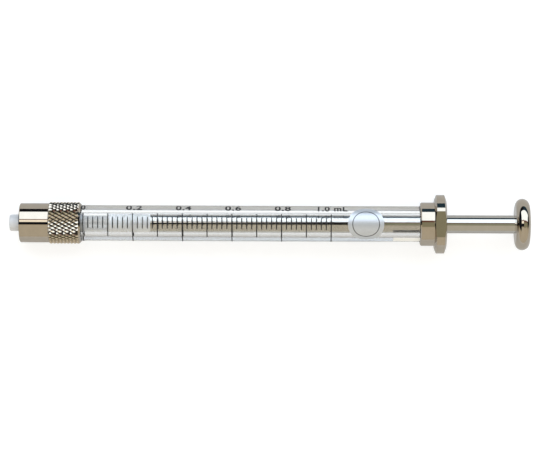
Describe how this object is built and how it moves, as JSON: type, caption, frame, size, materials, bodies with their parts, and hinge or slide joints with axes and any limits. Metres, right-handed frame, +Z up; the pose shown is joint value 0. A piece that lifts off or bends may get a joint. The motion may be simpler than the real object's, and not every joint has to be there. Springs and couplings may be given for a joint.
{
  "type": "microsyringe",
  "caption": "Gas-tight glass microsyringe with a graduated barrel, knurled metal luer lock, flatted finger flange and a sliding plunger with a thumb button.",
  "frame": {"origin": "on the syringe's axis at the free end of the male luer tip", "axes": "+X along the axis from the luer tip to the thumb button, +Z up when it lies on a flat of the finger flange, with the graduations facing up"},
  "size_m": [0.1261, 0.0142, 0.0128],
  "materials": {
    "glass": "polished borosilicate tube",
    "plated_brass": "bright nickel plating, slightly warm",
    "rod_steel": "ground and polished",
    "white_ptfe": "turned, waxy"
  },
  "bodies": {
    "barrel": {"glass_barrel": "glass", "lock_collar": "plated_brass", "luer_tip": "white_ptfe", "finger_flange": "plated_brass"},
    "plunger": {"plunger_rod": "rod_steel", "plunger_tip": "white_ptfe", "plunger_button": "plated_brass"}
  },
  "joints": [
    {"name": "plunger_slide", "type": "slide", "parent": "barrel", "child": "plunger", "axis": [1, 0, 0], "range_m": [-0.006, 0.054]}
  ]
}
